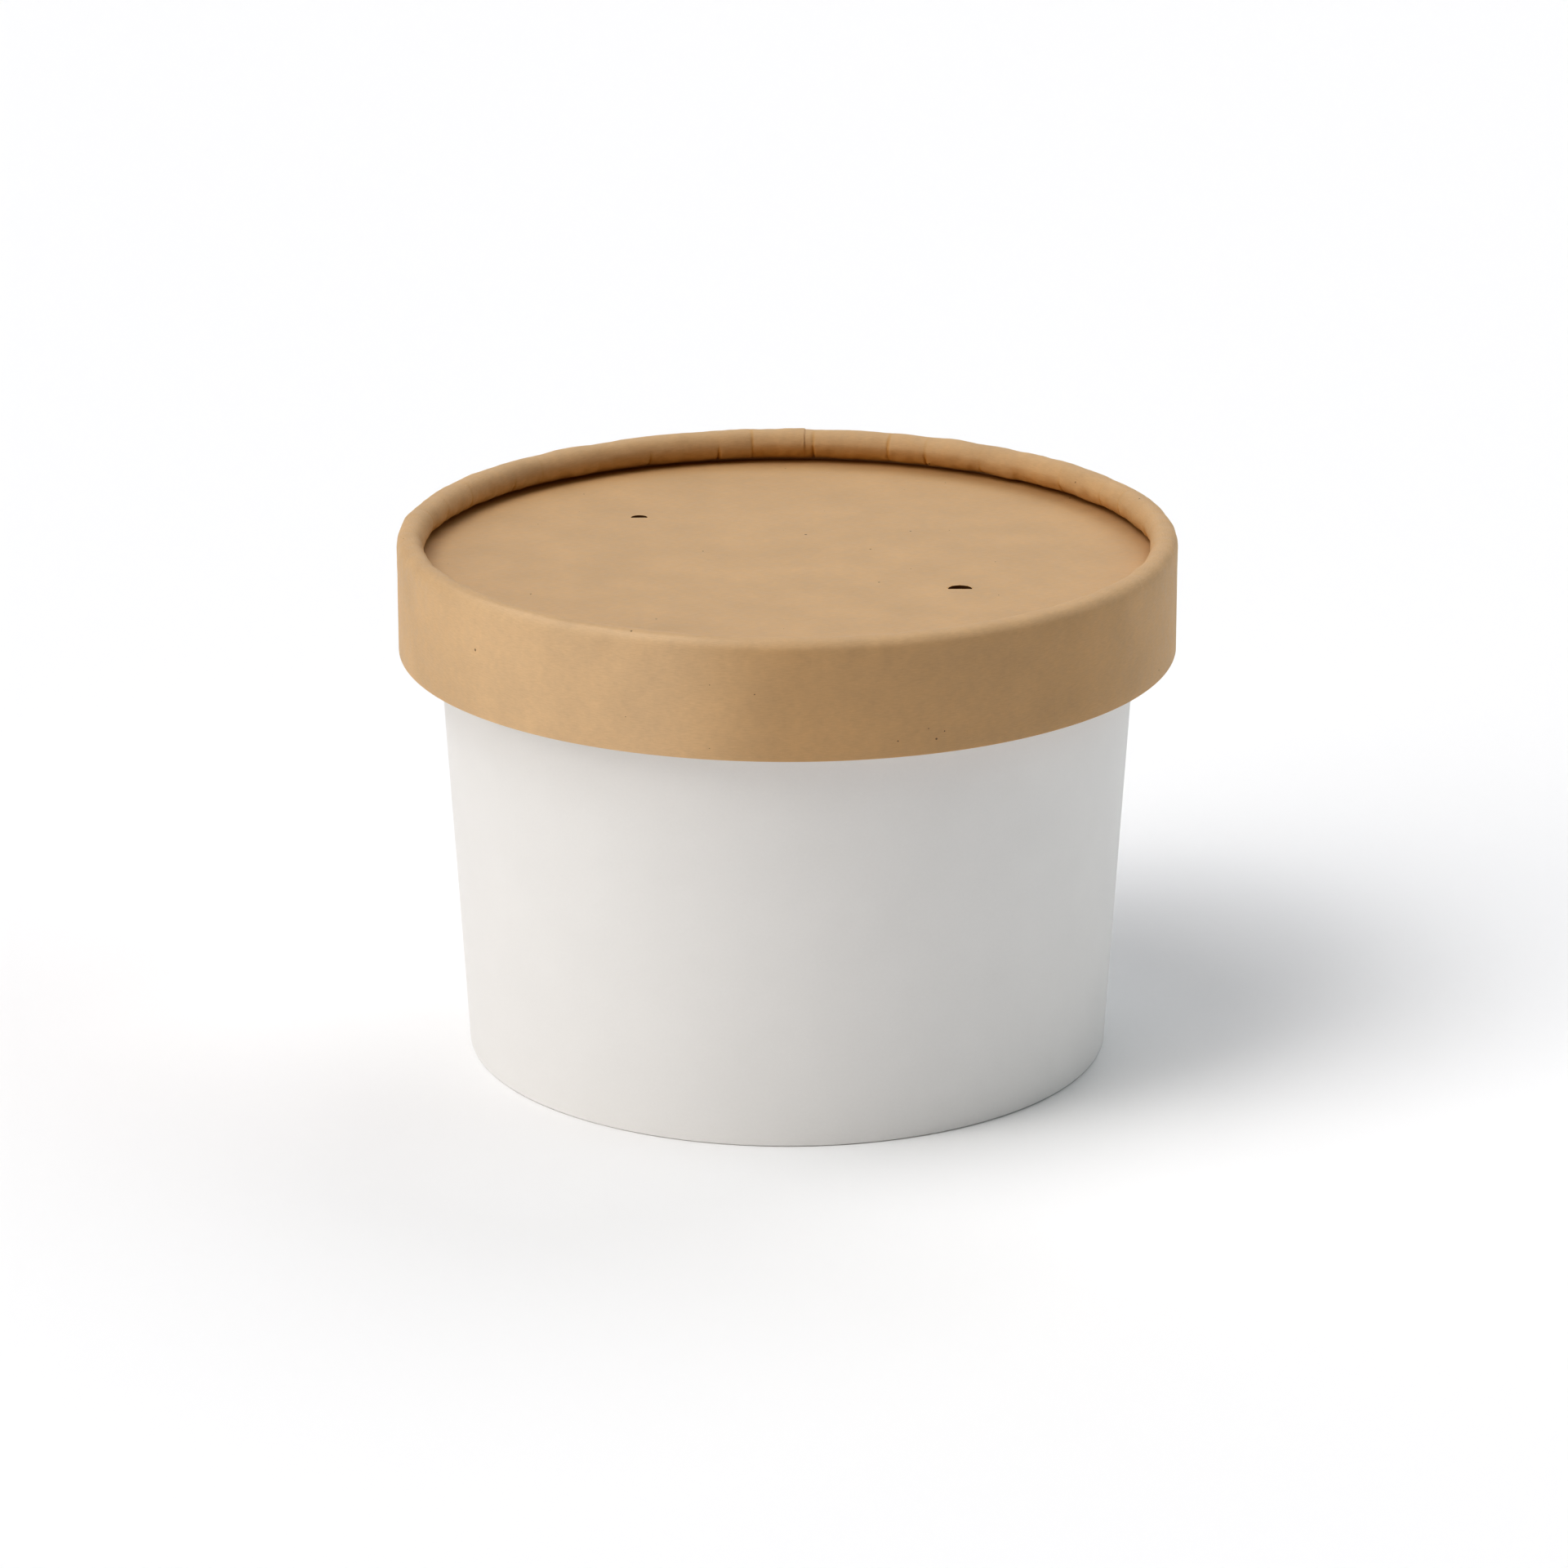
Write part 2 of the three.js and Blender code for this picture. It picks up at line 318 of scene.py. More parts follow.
def settle(owner, crease=35.0):
    """Turns what the modifiers give into a plain mesh, smooth but for its real edges."""
    depsgraph = bpy.context.evaluated_depsgraph_get()
    mesh = bpy.data.meshes.new_from_object(
        owner.evaluated_get(depsgraph), preserve_all_data_layers=True, depsgraph=depsgraph
    )
    owner.modifiers.clear()
    owner.data = mesh
    mesh.name = owner.name
    mesh.shade_smooth()
    mesh.set_sharp_from_angle(angle=math.radians(crease))
    mesh.calc_loop_triangles()
    print(owner.name, "triangles:", len(mesh.loop_triangles), "box, mm:", box_in_mm(mesh))
    return owner


def box_in_mm(mesh):
    """The mesh's size in millimetres, for the printed notes."""
    places = np.empty(len(mesh.vertices) * 3, dtype=np.float32)
    mesh.vertices.foreach_get("co", places)
    places = places.reshape(-1, 3)
    return [round(float(side) / MM, 2) for side in places.max(axis=0) - places.min(axis=0)]


def empty_piece(name):
    """An object with no mesh of its own yet, for a tree to fill."""
    piece = bpy.data.objects.new(name, bpy.data.meshes.new(name))
    scene.collection.objects.link(piece)
    return piece


# %% [markdown]
# ## Brown board
# Unbleached board is one warm brown, but never flat: the pulp is cloudy at 5 to 10 mm, grainy
# at about a millimetre, full of fibres a tenth of a millimetre wide, and it holds a dark speck
# of bark here and there. An image could show this, but noise in several sizes is simpler, has
# no repeat and can be retuned. The pattern is read from a UV map in which one unit is 100 mm of
# real board, so the fibres lie in the sheet wherever it bends.

# %% Colours and specks of the brown board
SHEET = 0.1  # metres of board for one unit of the UV map
BROWN = (0.611, 0.439, 0.275)
UNCHANGED = (1.0, 1.0, 1.0)
CLOUD_TINT = (1.01, 0.985, 0.95)  # what a thick cloud of pulp leaves of the brown
PAINTED_SHADE_BROWN = (0.95, 0.80, 0.50)  # what painted shade in creases, under the roll and at the vents leaves of it
SHADE_AND_HIGHLIGHT_TINT = (0.89, 0.86, 0.80)  # what painted shade leaves of it where the mark is 1; below 0 the mark paints highlight
DEEPEST_PAINTED_SHADE = 0.10  # painted shade: how light its deepest level, at the vents' cut edges, is against the board
TORN = 1.2  # the same for a torn edge, which is paler
CLOUD_SWING = 0.04  # how far each kind of noise takes the board to the light and to the dark
CLUMP_SWING = 0.035
FIBRE_SWING = 0.055
SPECK_CELL = 5.0  # millimetres of board for each chance of a speck
SPECK_LUCK = 0.85  # the share of the cells that stay without one
SPECK_REACH = 0.025  # the radius of the largest, as a share of the cell
SPECK_LIGHT = 0.4
SPECKS_SEEN = [  # dark specks with a known place: millimetres on the sheet, and the radius
    (2.25, 10.4, 0.17),
    (10.82, -9.9, 0.13),
    (107.5, 8.4, 0.16),
    (161.0, 2.3, 0.09),
    (165.6, 2.1, 0.12),
    (166.6, 2.9, 0.08),
]
print("specks with a known place:", len(SPECKS_SEEN))


# %% Noise, marks and mixing in a material
MOST_NOISE = (0.3, 0.7)  # most values of a noise lie between these


def sheet_place(tree):
    """The place on the sheet of board, in UV units of 100 mm."""
    return place(tree, "ShaderNodeUVMap", uv_map="board").outputs[0]


def grain(tree, where, size_mm, detail=2.0, roughness=0.5, offset=0.0, stretch=1.0, turn=0.0):
    """Noise whose blobs are about one size, drawn out along one direction for fibres."""
    scale = SHEET / (size_mm * MM)
    mapping = place(
        tree,
        "ShaderNodeMapping",
        {
            "Vector": where,
            "Location": (offset, offset * 0.7, 0.0),
            "Rotation": (0.0, 0.0, math.radians(turn)),
            "Scale": (scale / stretch, scale, 1.0),
        },
    )
    inputs = {"Vector": mapping.outputs[0], "Scale": 1.0, "Detail": detail, "Roughness": roughness}
    return place(tree, "ShaderNodeTexNoise", inputs, noise_dimensions="2D").outputs["Fac"]


def swing(tree, noise, amount):
    """
    Turns noise, which strays about a quarter from a half, into a factor round one: a swing of
    0.1 gives 0.9 to 1.1.
    """
    centred = calc(tree, "SUBTRACT", noise, 0.5)
    return calc(tree, "MULTIPLY_ADD", centred, 4.0 * amount, 1.0)


def mark(tree, label):
    """A mark that the piece's mesh carries, such as how much shade is painted on its board."""
    return place(tree, "ShaderNodeAttribute", attribute_name=label).outputs["Fac"]


def blend(tree, share, first, second, clamp=True):
    """Mixes two colours. Without the clamp, a share beyond 0 and 1 goes on past them."""
    inputs = {0: share, 6: (*first, 1.0), 7: (*second, 1.0)}
    settings = {"data_type": "RGBA", "clamp_factor": clamp}
    return place(tree, "ShaderNodeMix", inputs, **settings).outputs[2]


# %% Brown board material
BROWN_ROUGHNESS = (0.56, 0.72)


def brown_board():
    """The lid's board: cloudy, grainy, fibrous, sparse dark specks, and painted shade and highlight.
    """
    paper = bpy.data.materials.new("brown_board")
    paper.use_nodes = True
    tree = paper.node_tree
    shader = tree.nodes["Principled BSDF"]
    where = sheet_place(tree)

    cloud = grain(tree, where, 8.0, detail=3.0, offset=3.1)
    clump = grain(tree, where, 1.3, detail=4.0, roughness=0.6, offset=7.7)
    along = grain(tree, where, 0.12, detail=3.0, offset=1.3, stretch=9.0, turn=12.0)
    across = grain(tree, where, 0.12, detail=3.0, offset=5.9, stretch=7.0, turn=-58.0)
    fibre = calc(tree, "MULTIPLY", calc(tree, "ADD", along, across), 0.5)

    # painted shade: darker in the pleats' creases, under the roll and at the vents' cut edges, near
    # black past 1
    pressed = mark(tree, "pressed")
    light = times(
        tree,
        swing(tree, cloud, CLOUD_SWING),
        swing(tree, clump, CLUMP_SWING),
        swing(tree, fibre, FIBRE_SWING),
        ramp(tree, pressed, 1.0, 2.0, 1.0, DEEPEST_PAINTED_SHADE, kind="LINEAR"),
        ramp(tree, mark(tree, "bare"), 0.0, 1.0, 1.0, TORN),
    )

    speck_cells = place(
        tree,
        "ShaderNodeTexVoronoi",
        {"Vector": where, "Scale": SHEET / (SPECK_CELL * MM), "Randomness": 1.0},
        voronoi_dimensions="2D",
    )
    luck = place(tree, "ShaderNodeSeparateColor", {0: speck_cells.outputs["Color"]})
    reach = ramp(tree, luck.outputs[0], SPECK_LUCK, 1.0, 0.0, SPECK_REACH, kind="LINEAR")
    speck = calc(tree, "LESS_THAN", speck_cells.outputs["Distance"], reach)
    for x_mm, y_mm, radius_mm in SPECKS_SEEN:
        spot = (x_mm * MM / SHEET, y_mm * MM / SHEET, 0.0)
        distance = vector_calc(tree, "DISTANCE", where, spot)
        found = calc(tree, "LESS_THAN", distance, radius_mm * MM / SHEET)
        speck = calc(tree, "MAXIMUM", speck, found)
    light = times(tree, light, ramp(tree, speck, 0.0, 1.0, 1.0, SPECK_LIGHT))

    shaded = blend(tree, cloud, BROWN, [full * left for full, left in zip(BROWN, CLOUD_TINT)])
    # the painted shade also turns the brown deeper and warmer
    shade_share = ramp(tree, pressed, 0.0, 1.0, 0.0, 1.0, kind="LINEAR")
    painted_darker = blend(tree, shade_share, UNCHANGED, PAINTED_SHADE_BROWN)
    shaded = vector_calc(tree, "MULTIPLY", shaded, painted_darker)
    # the mark paints highlight below 0 and shade above 0, past 1 at the disc's rim: no clamp
    painted_light_tint = blend(tree, mark(tree, "dull"), UNCHANGED, SHADE_AND_HIGHLIGHT_TINT, clamp=False)
    shaded = vector_calc(tree, "MULTIPLY", shaded, painted_light_tint)
    shaded = vector_calc(tree, "SCALE", shaded, light)
    tree.links.new(shaded, shader.inputs["Base Color"])

    rough = ramp(tree, clump, *MOST_NOISE, *BROWN_ROUGHNESS)
    tree.links.new(rough, shader.inputs["Roughness"])
    relief = calc(tree, "MULTIPLY_ADD", clump, 1.2, calc(tree, "MULTIPLY", fibre, 0.8))
    bump = place(tree, "ShaderNodeBump", {"Height": relief, "Strength": 0.6, "Distance": 0.02 * MM})
    tree.links.new(bump.outputs[0], shader.inputs["Normal"])
    return paper


BROWN_BOARD = brown_board()
print("nodes in the brown board:", len(BROWN_BOARD.node_tree.nodes))

# %% [markdown]
# ## White board
# The tub's board is bleached and pressed smooth, so its fibres hardly show: a very slight
# cloudiness, and a fine tooth that only softens the highlights. The same sheet noise is used
# with much smaller swings.

# %% White board material
WHITE = (0.83, 0.815, 0.80)
WHITE_SWING = 0.008
WHITE_ROUGHNESS = (0.55, 0.66)


def white_board():
    """The tub's board: nearly even, with a fine tooth."""
    paper = bpy.data.materials.new("white_board")
    paper.use_nodes = True
    tree = paper.node_tree
    shader = tree.nodes["Principled BSDF"]
    where = sheet_place(tree)

    cloud = grain(tree, where, 9.0, detail=2.0, offset=2.3)
    tooth = grain(tree, where, 0.35, detail=4.0, roughness=0.6, offset=4.1)
    fibre = grain(tree, where, 0.10, detail=2.0, offset=8.3, stretch=6.0, turn=20.0)
    light = times(tree, swing(tree, cloud, WHITE_SWING), swing(tree, tooth, WHITE_SWING))
    shaded = vector_calc(tree, "SCALE", WHITE, light)
    tree.links.new(shaded, shader.inputs["Base Color"])
    rough = ramp(tree, tooth, *MOST_NOISE, *WHITE_ROUGHNESS)
    tree.links.new(rough, shader.inputs["Roughness"])
    relief = calc(tree, "ADD", tooth, calc(tree, "MULTIPLY", fibre, 0.5))
    bump = place(tree, "ShaderNodeBump", {"Height": relief, "Strength": 0.5, "Distance": 0.01 * MM})
    tree.links.new(bump.outputs[0], shader.inputs["Normal"])
    return paper


WHITE_BOARD = white_board()
print("nodes in the white board:", len(WHITE_BOARD.node_tree.nodes))

# %% [markdown]
# ## Half sections
# Tub and band are both round, so each is settled by its half section: the outline of the board
# if the piece were sawn through its axis. A section is drawn once, as a row of points from
# straight lines and arcs, counterclockwise, so that the faces will look outwards. Each point
# also carries what the later steps need: which way is out of the board, how much a lapped seam
# lifts it, and how much a gather or a press may move it.


# %% Section tools
def between(value, low, high):
    """The share of the way from low to high, held at 0 before and at 1 after."""
    return min(1.0, max(0.0, (value - low) / (high - low)))


def place_of(point):
    """The place of a section's point: how far from the axis, and how high."""
    return point["r"], point["z"]


def straight(start, end, steps, **marks):
    """Points along a straight line, the first one left out, with the board's outward side."""
    along = Vector(end) - Vector(start)
    out = Vector((along.y, -along.x)).normalized()
    points = []
    for i in range(1, steps + 1):
        here = Vector(start) + along * (i / steps)
        points.append({"r": here.x, "z": here.y, "out": out, **marks})
    return points


def arc(centre, radii, start, end, steps, marks=None):
    """Points along an arc, both ends kept. Marks may depend on the angle round the arc."""
    points = []
    for i in range(steps + 1):
        angle = start + (end - start) * i / steps
        c = math.cos(math.radians(angle))
        s = math.sin(math.radians(angle))
        out = Vector((c, s)) * (1 if end > start else -1)
        point = {"r": centre[0] + radii[0] * c, "z": centre[1] + radii[1] * s, "out": out}
        point.update(marks(angle) if marks else {})
        points.append(point)
    return points


BOARD_MARKS = ("gather", "press", "crumple", "bare")  # what the turned board keeps for later
SECTION_MARKS = ("lift", *BOARD_MARKS)


def section_object(name, points):
    """Keeps a section as loose points with attributes, where a tree can look them up."""
    mesh = bpy.data.meshes.new(name)
    mesh.from_pydata([(p["r"] * MM, 0.0, p["z"] * MM) for p in points], [], [])
    run = [0.0]
    for a, b in zip(points, points[1:]):
        run.append(run[-1] + math.hypot(b["r"] - a["r"], b["z"] - a["z"]) * MM)
    marks = {label: [p.get(label, 0.0) for p in points] for label in SECTION_MARKS}
    for label, values in {"run": run, **marks}.items():
        mesh.attributes.new(label, "FLOAT", "POINT").data.foreach_set("value", values)
    outward = mesh.attributes.new("outward", "FLOAT_VECTOR", "POINT")
    for slot, point in zip(outward.data, points):
        slot.vector = (point["out"].x, 0.0, point["out"].y)
    section = bpy.data.objects.new(name, mesh)
    scene.collection.objects.link(section)
    print(name, "points:", len(points), "length along the board, mm:", round(run[-1] / MM, 1))
    return section


# %% [markdown]
# ## A tree that turns a section into a round piece of board
# Spin or the Screw modifier could sweep the section, but both know only perfect rounds. Here a
# flat grid is wrapped instead: each column of the grid is one direction round the axis, each
# row is one point of the section. That gives every point its own angle, so the tree can lift
# the board where one end laps over the other. The wrap starts and ends at the cut end of the
# sheet: one more column goes from the lower layer up to the upper one, which makes the cut
# edge itself. Merging by distance closes the ring and the poles.


# %% Tree: turned board
WELD = 0.002 * MM  # points of the wrap that are closer than this become one


def sampled(tree, section, kind, label, row):
    """One attribute of the section, at the row that a grid point belongs to."""
    stored = place(tree, "GeometryNodeInputNamedAttribute", {"Name": label}, data_type=kind)
    inputs = {"Geometry": section, "Value": stored.outputs[0], "Index": row}
    node = place(tree, "GeometryNodeSampleIndex", inputs, data_type=kind, domain="POINT")
    return node.outputs[0]


def keep(tree, geometry, label, kind, value, domain="POINT"):
    """Stores a named attribute on the mesh for later steps and for the material."""
    inputs = {"Geometry": geometry, "Name": label, "Value": value}
    kinds = {"data_type": kind, "domain": domain}
    return place(tree, "GeometryNodeStoreNamedAttribute", inputs, **kinds).outputs[0]


def turned(tree, vector, angles):
    """Turns a place or a direction round the axes."""
    inputs = {"Vector": vector, "Rotation": angles}
    node = place(tree, "ShaderNodeVectorRotate", inputs, rotation_type="EULER_XYZ")
    return node.outputs[0]


def turned_board_tree():
    """Wraps a flat grid round the axis, one row for each point of the section."""
    tree, given, result = shape_tree(
        "turned_board",
        {
            "Object": ["Section"],
            "Int": ["Rows", "Columns"],
            "Float": ["Seam Cut", "Seam Lap", "Seam Easing", "Seam Lift", "Sheet Radius"],
            "Material": ["Board"],
        },
    )
    section = place(tree, "GeometryNodeObjectInfo", {"Object": given["Section"]}).outputs["Geometry"]
    grid = place(
        tree,
        "GeometryNodeMeshGrid",
        {
            "Size X": 1.0,
            "Size Y": 1.0,
            "Vertices X": calc(tree, "ADD", given["Columns"], 2.0),
            "Vertices Y": given["Rows"],
        },
    ).outputs["Mesh"]

    index = tree.nodes.new("GeometryNodeInputIndex").outputs[0]
    column = calc(tree, "FLOOR", calc(tree, "DIVIDE", calc(tree, "ADD", index, 0.5), given["Rows"]))
    row = calc(tree, "SUBTRACT", index, calc(tree, "MULTIPLY", column, given["Rows"]))
    share = calc(tree, "DIVIDE", calc(tree, "MINIMUM", column, given["Columns"]), given["Columns"])
    past_cut = calc(tree, "MULTIPLY", share, 360.0)
    turn = calc(tree, "RADIANS", calc(tree, "ADD", given["Seam Cut"], past_cut))

    spot = sampled(tree, section, "FLOAT_VECTOR", "position", row)
    outward = sampled(tree, section, "FLOAT_VECTOR", "outward", row)
    lift_share = sampled(tree, section, "FLOAT", "lift", row)
    run = sampled(tree, section, "FLOAT", "run", row)

    eased_from = calc(tree, "SUBTRACT", past_cut, given["Seam Lap"])
    lapped = ramp(tree, eased_from, 0.0, given["Seam Easing"], 1.0, 0.0)
    top_layer = calc(tree, "GREATER_THAN", column, calc(tree, "ADD", given["Columns"], 0.5))
    lapped = calc(tree, "MAXIMUM", lapped, top_layer)
    lift = times(tree, lapped, lift_share, given["Seam Lift"])
    lifted = vector_calc(tree, "ADD", spot, vector_calc(tree, "SCALE", outward, lift))

    angles = place(tree, "ShaderNodeCombineXYZ", {"Z": turn}).outputs[0]
    wrapped = turned(tree, lifted, angles)
    facing = turned(tree, outward, angles)
    sheet_x = calc(tree, "MULTIPLY", calc(tree, "RADIANS", past_cut), given["Sheet Radius"])
    sheet = place(tree, "ShaderNodeCombineXYZ", {"X": sheet_x, "Y": run}).outputs[0]
    sheet = vector_calc(tree, "SCALE", sheet, 1.0 / SHEET)
    sheet = place(
        tree, "GeometryNodeFieldOnDomain", {0: sheet}, data_type="FLOAT_VECTOR", domain="POINT"
    ).outputs[0]

    mesh = keep(tree, grid, "outward", "FLOAT_VECTOR", facing)
    for label in BOARD_MARKS:
        mesh = keep(tree, mesh, label, "FLOAT", sampled(tree, section, "FLOAT", label, row))
    mesh = keep(tree, mesh, "board", "FLOAT2", sheet, domain="CORNER")
    mesh = place(tree, "GeometryNodeSetPosition", {"Geometry": mesh, "Position": wrapped}).outputs[0]
    inputs = {"Geometry": mesh, "Distance": WELD}
    mesh = place(tree, "GeometryNodeMergeByDistance", inputs).outputs[0]
    finish_board(tree, mesh, given["Board"], result)
    return tree


TURNED_BOARD = turned_board_tree()
print("nodes in the turning tree:", len(TURNED_BOARD.nodes))


# %% From a section to a piece
def turned_piece(name, points, values, more=()):
    """Turns a section into board. More trees may work on it before it becomes a plain mesh."""
    piece = empty_piece(name)
    section = section_object(name + "_section", points)
    use_tree(piece, TURNED_BOARD, {"Section": section, "Rows": len(points), **values})
    for tree, tree_values in more:
        use_tree(piece, tree, tree_values)
    settle(piece)
    bpy.data.objects.remove(section)
    return piece


# %% [markdown]
# ## The tub
# The wall is a sheet rolled into a cone that opens by 3.3 degrees. Its two ends lap at the back
# and its foot is folded inwards round the bottom, which leaves the tub standing on a thin edge.
# Its mouth is rolled outwards under the lid. The tub is shut, so the inside isn't modelled: the
# shape closes a little below the lid, out of sight.

# %% Tub
BASE_RADIUS = 38.7
WALL_TAPER = math.tan(math.radians(3.3))
MOUTH_ROLL_RADIUS = 1.8
MOUTH_CENTRE = (43.5, 57.4)
RECESS_DEPTH = 6.7
EDGE_THICKNESS = 1.3  # the folded standing edge, three layers of board
SINGLE_FOLD = 0.95  # above the end of the folded layer
FOLD_TOP = 5.3
FOLD_STEP = 0.15  # the cut end of the folded layer slopes down by this much
FOOT_ROUNDING = 0.3
FOOT_ARC = (270, 357)  # degrees: the outer rounding ends where the leaning wall begins
HALF_HEIGHT = 30.0
HIDDEN_TOP = 56.3
TUB_COLUMNS = 720


def wall_radius(height):
    """How far the outside of the wall is from the axis."""
    return BASE_RADIUS + height * WALL_TAPER


def tub_foot_marks(angle):
    """The seam's lift grows round the foot, and points sideways as it does on the wall."""
    return {"lift": between(angle, *FOOT_ARC), "out": Vector((1, 0))}


def tub_section():
    """From the middle of the recess down and round the foot, up the wall and in at the mouth."""
    roll_meets_wall = (MOUTH_CENTRE[0] - wall_radius(MOUTH_CENTRE[1])) / MOUTH_ROLL_RADIUS
    meet = 180 + math.degrees(math.acos(roll_meets_wall))
    rounding = (FOOT_ROUNDING, FOOT_ROUNDING)
    recess_wall = (wall_radius(RECESS_DEPTH) - SINGLE_FOLD, RECESS_DEPTH)
    fold_end_out = (wall_radius(FOLD_TOP) - SINGLE_FOLD, FOLD_TOP)
    fold_end_in = (wall_radius(FOLD_TOP) - EDGE_THICKNESS, FOLD_TOP - FOLD_STEP)
    inner_foot = (BASE_RADIUS - EDGE_THICKNESS, FOOT_ROUNDING)
    points = [{"r": 0.0, "z": RECESS_DEPTH, "out": Vector((0, -1))}]
    points += straight((0, RECESS_DEPTH), recess_wall, 4)
    points += straight(recess_wall, fold_end_out, 2)
    points += straight(fold_end_out, fold_end_in, 2)
    points += straight(fold_end_in, inner_foot, 5)
    points += arc((inner_foot[0] + FOOT_ROUNDING, FOOT_ROUNDING), rounding, 180, 270, 4)
    foot_centre = (wall_radius(FOOT_ROUNDING) - FOOT_ROUNDING, FOOT_ROUNDING)
    points += arc(foot_centre, rounding, *FOOT_ARC, 6, tub_foot_marks)
    mouth = arc(MOUTH_CENTRE, (MOUTH_ROLL_RADIUS, MOUTH_ROLL_RADIUS), meet, 540, 24)
    points += straight(place_of(points[-1]), place_of(mouth[0]), 16, lift=1.0)
    points += mouth[1:]
    mouth_inside = place_of(points[-1])
    points += straight(mouth_inside, (mouth_inside[0], HIDDEN_TOP), 1)
    points += straight((mouth_inside[0], HIDDEN_TOP), (0, HIDDEN_TOP), 3)
    return points


tub = turned_piece(
    "tub_wall",
    tub_section(),
    {
        "Columns": TUB_COLUMNS,
        "Seam Cut": 118.0,
        "Seam Lap": 12.0,
        "Seam Easing": 5.0,
        "Seam Lift": 0.35 * MM,
        "Sheet Radius": wall_radius(HALF_HEIGHT) * MM,
        "Board": WHITE_BOARD,
    },
)

# %% [markdown]
# ## The tub's bottom
# A round of the same white board closes the tub, up inside the standing edge. Only a view from
# below shows it. It is the simplest turned section there is, so the same tree makes it, with no
# seam: a lift of zero.

# %% Tub bottom
BOTTOM_TOP = 6.4
BOTTOM_THICKNESS = 0.5
BOTTOM_RADIUS = 37.44
BOTTOM_SAG = 0.2  # the middle hangs a little lower than the edge
BOTTOM_BEND = (0.75, 0.4)  # at this share of the radius, that share of the sag is left
BOTTOM_COLUMNS = 180


def bottom_section():
    """From the middle of the underside out to the edge, and back over the upper side."""
    foot = BOTTOM_TOP - BOTTOM_THICKNESS
    bend = (BOTTOM_RADIUS * BOTTOM_BEND[0], foot - BOTTOM_SAG * BOTTOM_BEND[1])
    points = [{"r": 0.0, "z": foot - BOTTOM_SAG, "out": Vector((0, -1))}]
    points += straight((0, foot - BOTTOM_SAG), bend, 6)
    points += straight(place_of(points[-1]), (BOTTOM_RADIUS, foot), 4)
    points += straight((BOTTOM_RADIUS, foot), (BOTTOM_RADIUS, BOTTOM_TOP), 1)
    points += straight((BOTTOM_RADIUS, BOTTOM_TOP), (0, BOTTOM_TOP), 5)
    return points


tub_bottom = turned_piece(
    "tub_bottom_round",
    bottom_section(),
    {
        "Columns": BOTTOM_COLUMNS,
        "Seam Cut": 0.0,
        "Seam Lap": 0.0,
        "Seam Easing": 1.0,
        "Seam Lift": 0.0,
        "Sheet Radius": BOTTOM_RADIUS * 0.5 * MM,
        "Board": WHITE_BOARD,
    },
)

# %% [markdown]
# ## The lid's band
# The band is a straight strip with its ends lapped at the back. Its upper edge is rolled inwards
# over the disc. A flat strip that is rolled to a smaller radius has too much length, so it
# gathers in short pleats, closer here and wider there, and between two pleats the roll bulges
# like a cane of bamboo. In some of these fields the curled edge is drawn in under the roll, and
# shade is painted on them and in the creases. Drawing each pleat by hand would take hundreds of
# points. A second tree does it instead: it measures how far each point of the roll is from the
# nearest pleat. The same tree paints light on the strip's front: a painted highlight on the
# shoulder at the front left, and painted shade on the skirt at the front right.

# %% Section of the band
BAND_RADIUS = 46.5
BAND_INSIDE = 45.7
BAND_FOOT = 49.7
ROLL_MIDDLE = 44.9  # the roll's middle, from the axis
ROLL_HALF_WIDTH = 1.6
CREST = 63.85
ROLL_HALF_DEPTH = 1.8
SHOULDER = 1.9  # the outside turns in over this height
FULLNESS = 0.77  # 1 for a round shoulder, less for a squarer one
SHOULDER_STEPS = 14
INNER_STEPS = 30
SKIRT_STEPS = 8
CRUMPLE_REACH = 4.0  # how far below the roll the skirt is still uneven
CUT_ROUNDING = 0.1
BAND_COLUMNS = 1440
GATHER_START = 50  # degrees round the roll
GATHER_SPAN = 250
GATHER_POWER = 1.2  # above 1, the pleats fade out sooner at both ends of the span
PRESS_STARTS = (168, 212)
PRESS_ENDS = (280, 300)
LIFT_ENDS = (180, 270)
CRUMPLE_ENDS = (240, 300)
BARE_ENDS = (290, 350)  # degrees round the foot's rounding


def roll_marks(angle):
    """
    How much each part of the roll takes part in the seam, the pleats and the rest. The angle is
    0 on the outside, 90 on the crest, 180 on the inner side and 270 underneath.
    """
    gathered = math.sin(math.radians((angle - GATHER_START) * 180 / GATHER_SPAN))
    return {
        "lift": 1 - between(angle, *LIFT_ENDS),
        "gather": max(0.0, gathered) ** GATHER_POWER,
        "press": between(angle, *PRESS_STARTS) * (1 - between(angle, *PRESS_ENDS)),
        "crumple": 1 - between(angle, *CRUMPLE_ENDS),
    }


def foot_marks(angle):
    """The cut edge: it lifts sideways at the lap, and its underside is paler."""
    return {"lift": 1.0, "out": Vector((1, 0)), "bare": 1 - between(angle, *BARE_ENDS)}


